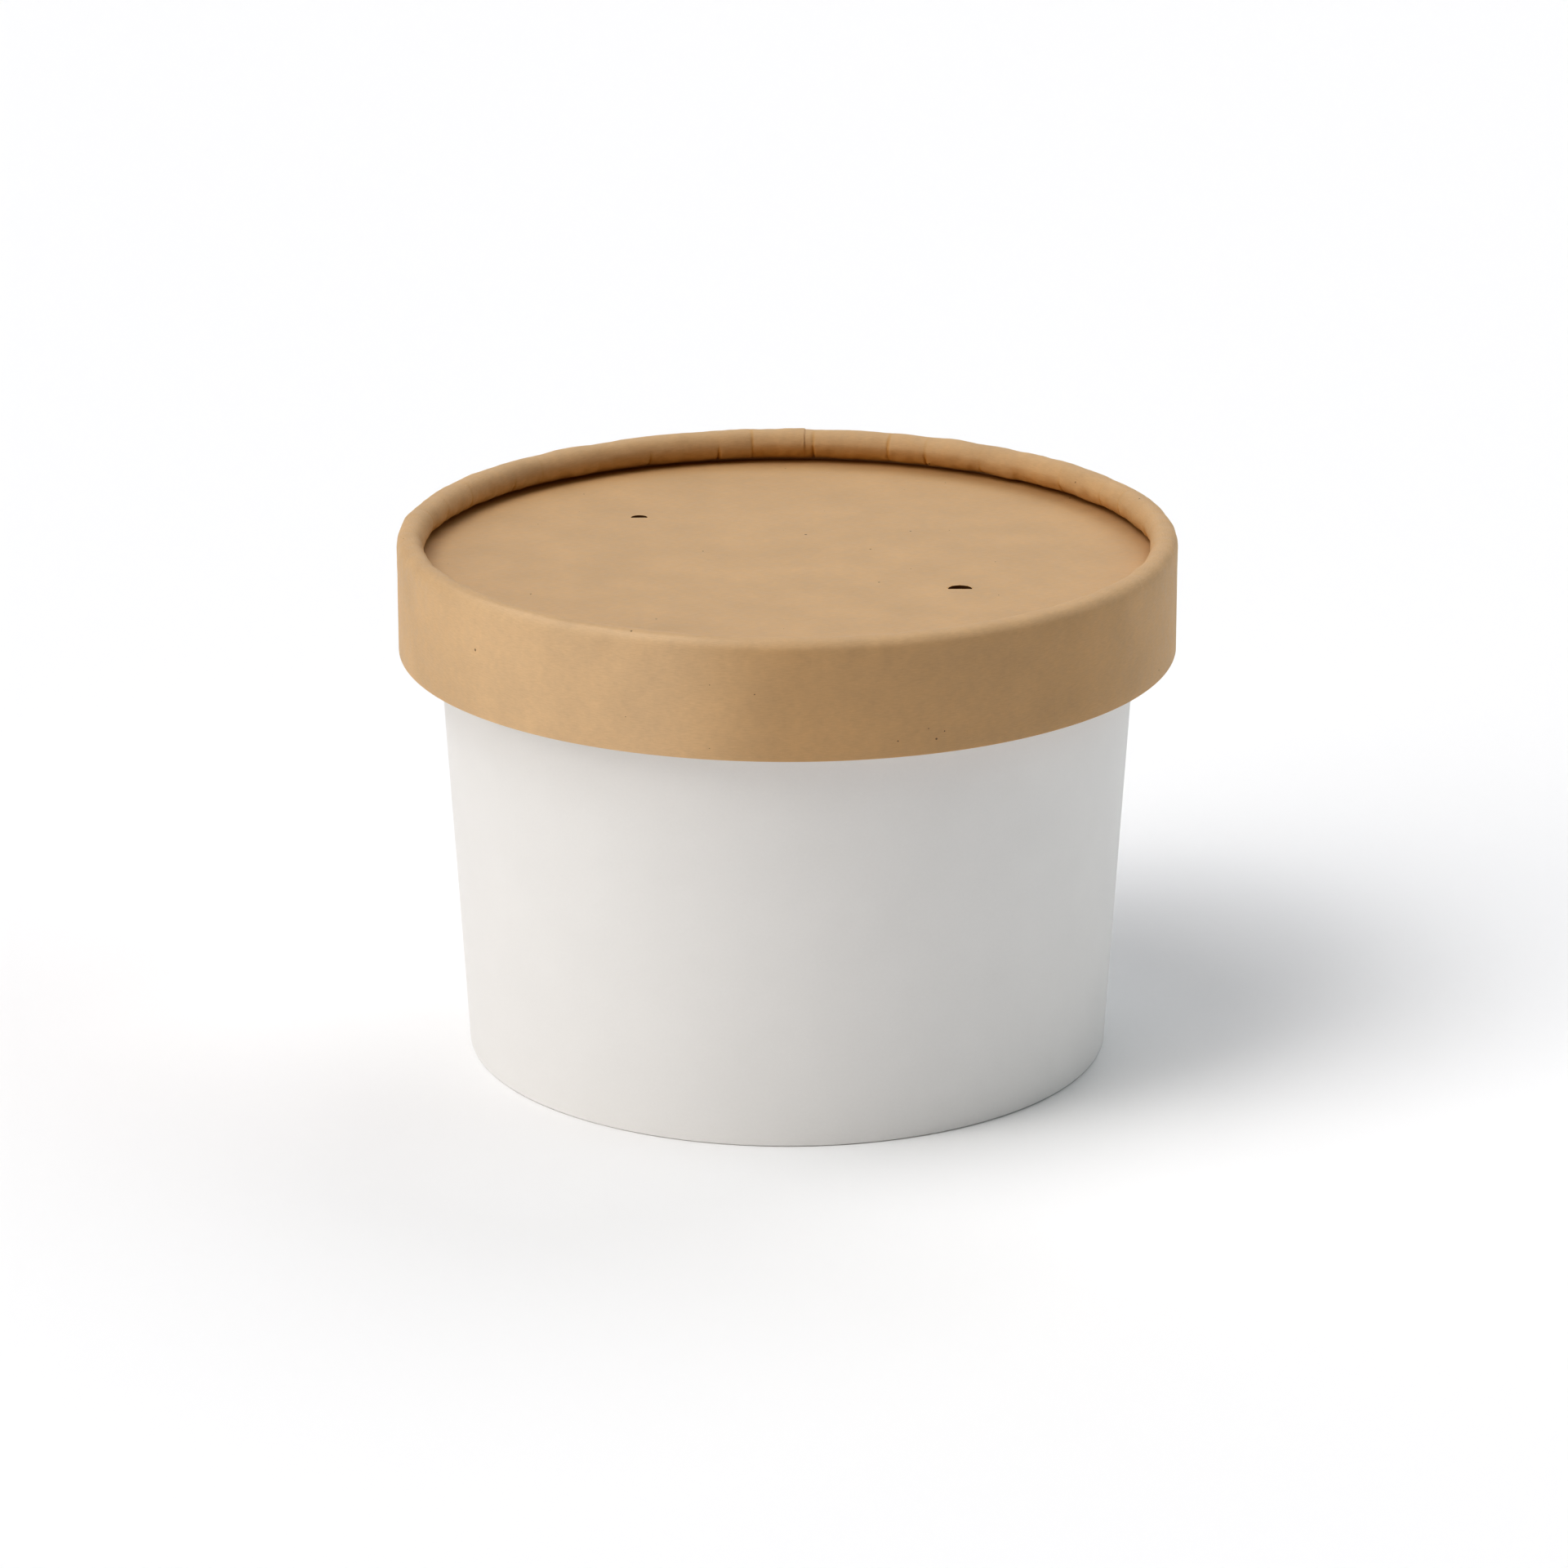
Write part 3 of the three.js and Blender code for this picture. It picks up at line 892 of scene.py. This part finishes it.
def band_section():
    """From the cut foot up the outside, over and round the roll, and down the inside."""
    under = 360 - math.degrees(math.acos((BAND_INSIDE - ROLL_MIDDLE) / ROLL_HALF_WIDTH))
    middle = ((BAND_RADIUS + BAND_INSIDE) / 2, BAND_FOOT)
    outer = (BAND_RADIUS - CUT_ROUNDING, BAND_FOOT + CUT_ROUNDING)
    inner = (BAND_INSIDE + CUT_ROUNDING, BAND_FOOT + CUT_ROUNDING)
    shoulder = (ROLL_MIDDLE, CREST - SHOULDER)
    core = (ROLL_MIDDLE, CREST - ROLL_HALF_DEPTH)
    points = [{"r": middle[0], "z": middle[1], "out": Vector((1, 0)), "lift": 0.5, "bare": 1.0}]
    points += arc(outer, (CUT_ROUNDING, CUT_ROUNDING), 270, 360, 3, foot_marks)
    skirt = straight((BAND_RADIUS, outer[1]), (BAND_RADIUS, shoulder[1]), SKIRT_STEPS, lift=1.0)
    for point in skirt:
        point["crumple"] = between(point["z"], shoulder[1] - CRUMPLE_REACH, shoulder[1])
    points += skirt
    turn_in = arc(shoulder, (1.0, 1.0), 0, 90, SHOULDER_STEPS, roll_marks)
    for point in turn_in:
        point["r"] = shoulder[0] + ROLL_HALF_WIDTH * abs(point["r"] - shoulder[0]) ** FULLNESS
        point["z"] = shoulder[1] + SHOULDER * abs(point["z"] - shoulder[1]) ** FULLNESS
    points += turn_in[1:]
    points += arc(core, (ROLL_HALF_WIDTH, ROLL_HALF_DEPTH), 90, under, INNER_STEPS, roll_marks)[1:]
    points += straight(place_of(points[-1]), (BAND_INSIDE, inner[1]), 4)
    points += arc(inner, (CUT_ROUNDING, CUT_ROUNDING), 180, 270, 3)[1:]
    points.append(dict(points[0]))
    return points


band_points = band_section()
print("points in the band's section:", len(band_points))

# %% Pleats round the roll
SEEN_PLEATS = [  # degrees from +X, line up the roll, nick in its lower half, next field drawn in
    (56.4, 0.1, 0.3, 0.25),
    (66.6, 0.25, 0.7, 0.5),
    (73.1, 0.9, 0.35, 0.6),
    (85.7, 0.55, 0.9, 0.75),
    (95.8, 0.75, 0.1, 0.2),
    (101.4, 0.1, 1.0, 0.3),
    (113.2, 0.0, 0.6, 0.2),
]
OTHER_PLEATS = 31
OTHER_LINE = (0.0, 0.3)  # the weakest and the strongest of the others
OTHER_NICK = (0.1, 0.7)
OTHER_TUCK = (0.0, 0.4)
PITCH_SWING = 0.35  # how far the pitch strays from its mean
PITCH_BEAT = 2.4  # radians from one pleat to the next


def all_pleats():
    """The seen pleats at the back, and others that carry on round the front to meet them."""
    draw = random.Random(31)
    pleats = list(SEEN_PLEATS)
    pitches = [1 + PITCH_SWING * math.sin(PITCH_BEAT * i) for i in range(OTHER_PLEATS + 1)]
    first = SEEN_PLEATS[0][0] + 360
    last = SEEN_PLEATS[-1][0]
    gone = 0.0
    for pitch in pitches[:OTHER_PLEATS]:
        gone += pitch
        angle = last + (first - last) * gone / sum(pitches)
        line = draw.uniform(*OTHER_LINE)
        nick = draw.uniform(*OTHER_NICK)
        tuck = draw.uniform(*OTHER_TUCK)
        pleats.append((angle, line, nick, tuck))
    return pleats


def pleat_ring(pleats):
    """Points at the pleats, and an edge for each field between two of them."""
    places = [(math.cos(math.radians(p[0])), math.sin(math.radians(p[0])), 0.0) for p in pleats]
    edges = [(i, (i + 1) % len(pleats)) for i in range(len(pleats))]
    mesh = bpy.data.meshes.new("pleat_ring")
    mesh.from_pydata(places, edges, [])
    for label, domain, values in [
        ("line", "POINT", [p[1] for p in pleats]),
        ("nick", "POINT", [p[2] for p in pleats]),
        ("tuck", "EDGE", [p[3] for p in pleats]),
    ]:
        mesh.attributes.new(label, "FLOAT", domain).data.foreach_set("value", values)
    ring = bpy.data.objects.new("pleat_ring", mesh)
    scene.collection.objects.link(ring)
    return ring


ring_of_pleats = pleat_ring(all_pleats())
print("pleats:", len(ring_of_pleats.data.vertices))


# %% Looking things up in a tree
def nearest(tree, ring, domain, label, where):
    """One attribute of the nearest point or edge of the ring."""
    stored = place(tree, "GeometryNodeInputNamedAttribute", {"Name": label}, data_type="FLOAT")
    inputs = {"Geometry": ring, "Sample Position": where}
    found = place(tree, "GeometryNodeSampleNearest", inputs, domain=domain).outputs[0]
    inputs = {"Geometry": ring, "Value": stored.outputs[0], "Index": found}
    node = place(tree, "GeometryNodeSampleIndex", inputs, data_type="FLOAT", domain=domain)
    return node.outputs[0]


def own(tree, kind, label):
    """An attribute that an earlier tree kept on this mesh."""
    node = place(tree, "GeometryNodeInputNamedAttribute", {"Name": label}, data_type=kind)
    return node.outputs[0]


def wander(tree, position, length, height):
    """Soft noise in space, from minus half to plus half of the height."""
    where = vector_calc(tree, "SCALE", position, calc(tree, "DIVIDE", 1.0, length))
    noise = place(tree, "ShaderNodeTexNoise", {"Vector": where, "Scale": 1.0, "Detail": 2.0})
    centred = calc(tree, "SUBTRACT", noise.outputs["Fac"], 0.5)
    return calc(tree, "MULTIPLY", centred, height)


# %% Painted shade and highlight on the strip
HIGHLIGHT_TO_SHADE = (-0.36, 0.04)  # from left to right over the lid, -1 to 1: painted highlight first, then painted shade
LEFT_FADES = (-1.0, -0.65)
RIGHT_FADES = (0.7, 1.0)
RIGHT_END_SHADE = 0.1  # the share of painted shade that is left at the right end
BACK_FADES = (-0.4, 0.0)  # from the front, -1, to the back, 1
SKIRT_FACES = (0.8, 1.0)  # how far the board faces sideways: 1 on the skirt, 0 on the crest
SHOULDER_FACES = (0.2, 0.55)
HIGHLIGHT_FACES = (0.65, 1.0)
HIGHLIGHT_STRENGTH = (1.2, 0.6)  # painted highlight on the shoulder, and on the skirt below it


def painted_light_on_strip(tree, outward, around):
    """Painted light on the strip: above 0 painted shade at the front right, below 0 painted
    highlight.
    """
    across, back, _ = place(tree, "ShaderNodeSeparateXYZ", {0: around}).outputs
    sideways = vector_calc(tree, "DOT_PRODUCT", outward, around)
    right = ramp(tree, across, *HIGHLIGHT_TO_SHADE)
    right_end = ramp(tree, across, *RIGHT_FADES, 1.0, RIGHT_END_SHADE)
    painted_darker = times(tree, right, right_end, ramp(tree, sideways, *SKIRT_FACES))
    shoulder = ramp(tree, sideways, *SHOULDER_FACES)
    shoulder_highlight = times(tree, shoulder, ramp(tree, sideways, *HIGHLIGHT_FACES, *HIGHLIGHT_STRENGTH))
    left = calc(tree, "SUBTRACT", 1.0, right)
    painted_highlight = times(tree, left, shoulder_highlight, ramp(tree, across, *LEFT_FADES))
    front = ramp(tree, back, *BACK_FADES, 1.0, 0.0)
    return times(tree, calc(tree, "SUBTRACT", painted_darker, painted_highlight), front)


# %% Tree: gathered roll
ROLL_SHADE_LIMIT = 1.12  # the most painted shade on the roll; past 1 the painted shade heads towards near black
INNER_ROLL_SHADE = 0.35  # painted shade on the roll's lower inner side anywhere
TUCKED_FIELD_SHADE = 0.6  # and how much more painted shade where the field is drawn in


def gathered_roll_tree():
    """Moves the roll's board at the pleats and between them, and paints shade and highlight on it.
    """
    tree, given, result = shape_tree(
        "gathered_roll",
        {
            "Object": ["Pleats"],
            "Float": [
                *("Pleat Depth", "Nick Depth", "Pleat Half Width", "Field Bulge", "Bulge Reach"),
                *("Tuck", "Ruffle", "Ruffle Length", "Lump Height", "Lump Length"),
                *("Skirt Wave", "Wave Length", "Radius"),
            ],
            "Material": ["Board"],
        },
    )
    ring = place(tree, "GeometryNodeObjectInfo", {"Object": given["Pleats"]}).outputs["Geometry"]
    position = tree.nodes.new("GeometryNodeInputPosition").outputs[0]
    flat = vector_calc(tree, "MULTIPLY", position, (1.0, 1.0, 0.0))
    around = vector_calc(tree, "NORMALIZE", flat)

    inputs = {0: ring, "Sample Position": around}
    near = place(tree, "GeometryNodeProximity", inputs, target_element="POINTS").outputs["Distance"]
    near = times(tree, near, given["Radius"])
    line = nearest(tree, ring, "POINT", "line", around)
    nick = nearest(tree, ring, "POINT", "nick", around)
    tuck = nearest(tree, ring, "EDGE", "tuck", around)
    gather = own(tree, "FLOAT", "gather")
    press = own(tree, "FLOAT", "press")
    outward = own(tree, "FLOAT_VECTOR", "outward")

    crease = ramp(tree, near, 0.0, given["Pleat Half Width"], 1.0, 0.0)
    high = times(tree, gather, calc(tree, "SUBTRACT", 1.0, press), line)
    low = times(tree, press, nick)
    notch = times(tree, high, given["Pleat Depth"])
    notch = calc(tree, "MULTIPLY_ADD", low, given["Nick Depth"], notch)
    notch = times(tree, notch, crease)
    bulge = ramp(tree, near, 0.0, given["Bulge Reach"], -0.5, 0.5)
    bulge = times(tree, bulge, given["Field Bulge"], gather)
    lump = wander(tree, position, given["Lump Length"], given["Lump Height"])
    lump = times(tree, lump, own(tree, "FLOAT", "crumple"))
    out = calc(tree, "ADD", calc(tree, "SUBTRACT", bulge, notch), lump)
    moved = vector_calc(tree, "SCALE", outward, out)

    ruffle = wander(tree, position, given["Ruffle Length"], given["Ruffle"])
    drawn_in = calc(tree, "MULTIPLY_ADD", tuck, given["Tuck"], ruffle)
    drawn_in = times(tree, drawn_in, press)
    wave = wander(tree, position, given["Wave Length"], given["Skirt Wave"])
    drawn_in = calc(tree, "ADD", drawn_in, wave)
    moved = vector_calc(tree, "ADD", moved, vector_calc(tree, "SCALE", around, drawn_in))

    # painted shade: darker along the pleats' creases and over the roll's lower inner side, most
    # where a field is drawn in
    pressed = times(tree, crease, calc(tree, "ADD", high, low))
    under_roll_shade = times(tree, calc(tree, "MULTIPLY_ADD", tuck, TUCKED_FIELD_SHADE, INNER_ROLL_SHADE), press)
    pressed = calc(tree, "MINIMUM", calc(tree, "ADD", pressed, under_roll_shade), ROLL_SHADE_LIMIT)
    mesh = keep(tree, given["Geometry"], "pressed", "FLOAT", pressed)
    # painted shade on the right of the strip's front, painted highlight on its left shoulder
    mesh = keep(tree, mesh, "dull", "FLOAT", painted_light_on_strip(tree, outward, around))
    mesh = place(tree, "GeometryNodeSetPosition", {"Geometry": mesh, "Offset": moved}).outputs[0]
    finish_board(tree, mesh, given["Board"], result)
    return tree


GATHERED_ROLL = gathered_roll_tree()
print("nodes in the gathering tree:", len(GATHERED_ROLL.nodes))

# %% Band
gathers = {
    "Pleats": ring_of_pleats,
    "Pleat Depth": 0.14 * MM,
    "Nick Depth": 0.26 * MM,
    "Pleat Half Width": 0.3 * MM,
    "Field Bulge": 0.08 * MM,
    "Bulge Reach": 2.6 * MM,
    "Tuck": 0.4 * MM,
    "Ruffle": 0.6 * MM,
    "Ruffle Length": 1.61 * MM,
    "Lump Height": 0.42 * MM,
    "Lump Length": 4.6 * MM,
    "Skirt Wave": 0.12 * MM,
    "Wave Length": 18.4 * MM,
    "Radius": BAND_RADIUS * MM,
    "Board": BROWN_BOARD,
}
band = turned_piece(
    "lid_band_board",
    band_points,
    {
        "Columns": BAND_COLUMNS,
        "Seam Cut": 87.2,
        "Seam Lap": 10.4,
        "Seam Easing": 5.0,
        "Seam Lift": 0.11 * MM,
        "Sheet Radius": BAND_RADIUS * MM,
        "Board": BROWN_BOARD,
    },
    more=[(GATHERED_ROLL, gathers)],
)
bpy.data.objects.remove(ring_of_pleats)

# %% [markdown]
# ## The lid's disc
# The disc is flat board with two steam vents. Each vent is a half-moon cut, 2 to 3 mm wide,
# whose little flap is pushed down, so that a slit shows, and its cut edge is painted near black
# for the shade in the slit. Cutting with a Boolean would leave long thin triangles, so the disc
# is drawn as a flat triangulation that knows about the cuts. The flap is a strip of its own from
# the straight side of the half-moon, bent down, and the Solidify modifier then gives all of it
# the board's thickness. Shade is also painted on the disc near its rim, under the roll.

# %% Flat drawing of the disc
DISC_RADIUS = 45.4
RIM_CORNERS = 288
RIM_CLEARANCE = 0.8
DISC_SPACING = 1.5
ROW_SHARE = 0.87  # rows of even triangles lie this share of the spacing apart
SCATTER = 0.15
VENTS = [
    {"x": -18.1, "y": 18.3, "width": 2.0, "drop": 0.62, "slit": 0.30},
    {"x": 20.3, "y": -12.6, "width": 2.8, "drop": 0.70, "slit": 0.40},
]
ARC_STEPS = 20
VENT_CLEARANCE = 0.75  # as shares of the vent's width
VENT_RINGS = (0.62, 0.9)
NEAREST_RING = 0.07  # outside the cut, in millimetres
RING_POINTS = 30


def away(vent, x, y):
    """How far a place is from the middle of the vent's straight side."""
    return math.hypot(x - vent["x"], y - vent["y"])


def flap_radius(vent):
    """The flap is smaller than the half-moon by the slit."""
    return vent["width"] / 2 - vent["slit"]


def half_moon(vent, radius):
    """Points of the arc, from its right end over the back to its left end."""
    return circle(vent["x"], vent["y"], radius, 2 * ARC_STEPS)[: ARC_STEPS + 1]


def disc_outline_and_field():
    """All points of the flat drawing, and the closed lines that it must keep."""
    points = []
    lines = []

    def closed(line):
        start = len(points)
        points.extend(line)
        count = len(line)
        lines.extend((start + i, start + (i + 1) % count) for i in range(count))

    closed(circle(0.0, 0.0, DISC_RADIUS, RIM_CORNERS))
    for vent in VENTS:
        closed(half_moon(vent, vent["width"] / 2) + half_moon(vent, flap_radius(vent))[::-1])
    steps = int(DISC_RADIUS / DISC_SPACING) + 1
    draw = random.Random(7)
    for row in range(-steps, steps + 1):
        for column in range(-steps, steps + 1):
            x = (column + 0.5 * (row % 2) + draw.uniform(-SCATTER, SCATTER)) * DISC_SPACING
            y = (row + draw.uniform(-SCATTER, SCATTER)) * DISC_SPACING * ROW_SHARE
            clear = all(away(vent, x, y) > vent["width"] * VENT_CLEARANCE for vent in VENTS)
            if clear and math.hypot(x, y) < DISC_RADIUS - RIM_CLEARANCE:
                points.append((x, y))
    for vent in VENTS:
        radii = [vent["width"] / 2 + NEAREST_RING] + [vent["width"] * share for share in VENT_RINGS]
        for radius in radii:
            points += circle(vent["x"], vent["y"], radius, RING_POINTS)
    return points, lines


drawn_points, drawn_lines = disc_outline_and_field()
print("points and lines in the disc's drawing:", len(drawn_points), len(drawn_lines))

# %% Heights and marks of the disc
DISC_TOP = 60.0
DISC_THICKNESS = 0.4
SWELL = 0.10  # from the lowest to the highest place, about
SWELL_X = (0.075, 0.6)  # radians for a millimetre, and at the middle of the disc
SWELL_Y = (0.062, -0.4)
ON_LINE = 0.01  # a point this close to a cut lies on it
OFF_SIDE = 0.001  # and one this far behind the straight side is off that side
CUT_EDGE_SHADE = 2.0  # painted shade at the vents' cut edges, for the painted-shade mark: near black
HIDDEN_RIM = 2.2  # the roll covers about this much of the disc
RIM_SHADE_WIDTH = 6.0  # painted shade on the disc within this many mm inside the roll's edge
RIM_SHADE = 1.5
RIM_SHADE_BACK = (0.1, 0.7)  # the painted shade grows over this stretch, as shares of the radius to the back


def disc_height(x, y):
    """The board isn't quite flat: a low swell of a tenth of a millimetre."""
    swell = math.sin(x * SWELL_X[0] + SWELL_X[1]) * math.cos(y * SWELL_Y[0] + SWELL_Y[1])
    ease = max(0.0, 1.0 - (math.hypot(x, y) / DISC_RADIUS) ** 4)
    return DISC_TOP - 0.5 * DISC_THICKNESS - SWELL / 2 + SWELL * swell * ease


def in_slit(x, y):
    """True inside the gap between the cut edge and the flap."""
    return any(
        y > vent["y"] and flap_radius(vent) < away(vent, x, y) < vent["width"] / 2
        for vent in VENTS
    )


def flap_drop(x, y):
    """How far the flap is pushed down: more and more from its straight side to its tip."""
    for vent in VENTS:
        inside = away(vent, x, y) < flap_radius(vent) + ON_LINE
        if inside and y > vent["y"] + OFF_SIDE:
            share = (y - vent["y"]) / flap_radius(vent)
            return vent["drop"] * share
    return 0.0


def cut_marks(x, y):
    """Painted shade and tearing here: near-black painted shade at the cut, torn at the flap's tip.
    """
    for vent in VENTS:
        behind = y > vent["y"] + OFF_SIDE
        if behind and abs(away(vent, x, y) - vent["width"] / 2) < ON_LINE:
            return CUT_EDGE_SHADE, 0.0
        if behind and abs(away(vent, x, y) - flap_radius(vent)) < ON_LINE:
            return 0.0, 1.0
    return 0.0, 0.0


def painted_rim_shade(x, y):
    """Painted shade near the rim, under the roll's edge, most of all at the back."""
    seen_radius = DISC_RADIUS - HIDDEN_RIM
    near_rim = between(math.hypot(x, y), seen_radius - RIM_SHADE_WIDTH, seen_radius)
    return RIM_SHADE * near_rim**2 * between(y / DISC_RADIUS, *RIM_SHADE_BACK)


print("flaps pushed down by, mm:", [vent["drop"] for vent in VENTS])

# %% Disc
INSIDE_ONLY = 1  # the triangulation keeps what lies within the outer line
SAME_PLACE = 0.001  # and takes points that are closer than this for one


def make_disc():
    """Fills the drawing with triangles, leaves the slits open and gives it thickness."""
    corners = [Vector(point) for point in drawn_points]
    filled = delaunay_2d_cdt(corners, drawn_lines, [], INSIDE_ONLY, SAME_PLACE)
    flat = filled[0]
    kept = []
    for face in filled[2]:
        middle_x = sum(flat[i].x for i in face) / len(face)
        middle_y = sum(flat[i].y for i in face) / len(face)
        if not in_slit(middle_x, middle_y):
            kept.append(list(face))
    mesh = bpy.data.meshes.new("lid_disc_board")
    heights = [disc_height(p.x, p.y) - flap_drop(p.x, p.y) for p in flat]
    mesh.from_pydata([(p.x * MM, p.y * MM, h * MM) for p, h in zip(flat, heights)], [], kept)
    sheet = mesh.uv_layers.new(name="board")
    for corner, slot in zip(mesh.loops, sheet.data):
        spot = mesh.vertices[corner.vertex_index].co
        slot.uv = (spot.x / SHEET, spot.y / SHEET)
    # painted shade: the vents' cut edges are painted near black
    cuts = [cut_marks(p.x, p.y) for p in flat]
    for label, values in {
        "pressed": [cut_shade for cut_shade, torn in cuts],
        "bare": [torn for cut_shade, torn in cuts],
        # painted shade near the rim, under the roll
        "dull": [painted_rim_shade(p.x, p.y) for p in flat],
    }.items():
        mesh.attributes.new(label, "FLOAT", "POINT").data.foreach_set("value", values)
    mesh.materials.append(BROWN_BOARD)
    disc = bpy.data.objects.new("lid_disc_board", mesh)
    scene.collection.objects.link(disc)
    board = disc.modifiers.new("board", "SOLIDIFY")
    board.thickness = DISC_THICKNESS * MM
    board.offset = 0.0
    return settle(disc)


disc = make_disc()

# %% [markdown]
# ## Handing the pieces over
# Each piece of board takes the place of the solid that it refines. The solids stay in the
# physics model. Everything rides on the one body, since the closed tub has no moving joint.

# %% Bodies and replaced solids
HAND_OVER = [
    (tub, "tub", "white_board"),
    (tub_bottom, "tub_bottom", "white_board"),
    (disc, "lid_disc", "brown_board"),
    (band, "lid_band", "brown_board"),
]
for piece, node, slot in HAND_OVER:
    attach(piece, "root")
    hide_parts(node)
    print(piece.name, "stands for", node)
